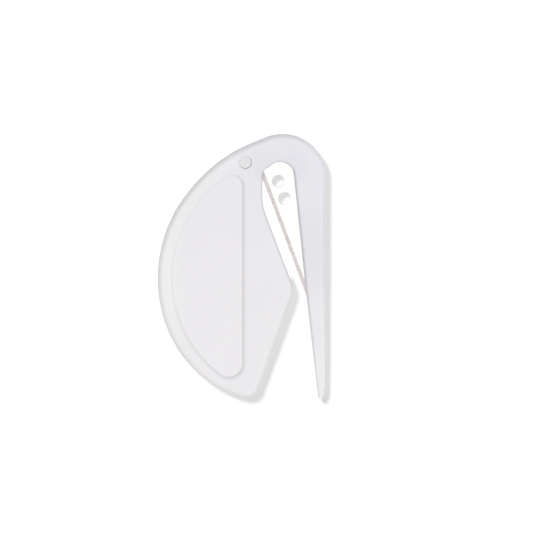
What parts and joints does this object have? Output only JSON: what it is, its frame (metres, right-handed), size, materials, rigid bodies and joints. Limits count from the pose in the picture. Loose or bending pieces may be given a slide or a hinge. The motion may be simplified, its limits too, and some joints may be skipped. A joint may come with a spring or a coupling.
{
  "type": "seam ripper",
  "caption": "Flat hooked seam ripper and letter slitter: D-shaped plastic grip with a sunk panel and hang hole, tapered probe arm and a fixed steel blade guarded inside its window.",
  "frame": {"origin": "centre of the plan outline, on the flat back that it rests on", "axes": "+X across the tool towards the probe arm, +Y from the probe tip towards the rounded loop, +Z out of the front face that carries the sunk panel"},
  "size_m": [0.0504, 0.08, 0.0043],
  "materials": {
    "body": "satin",
    "blade": "satin"
  },
  "bodies": {
    "root": {"body": "body", "blade": "blade"}
  },
  "joints": []
}
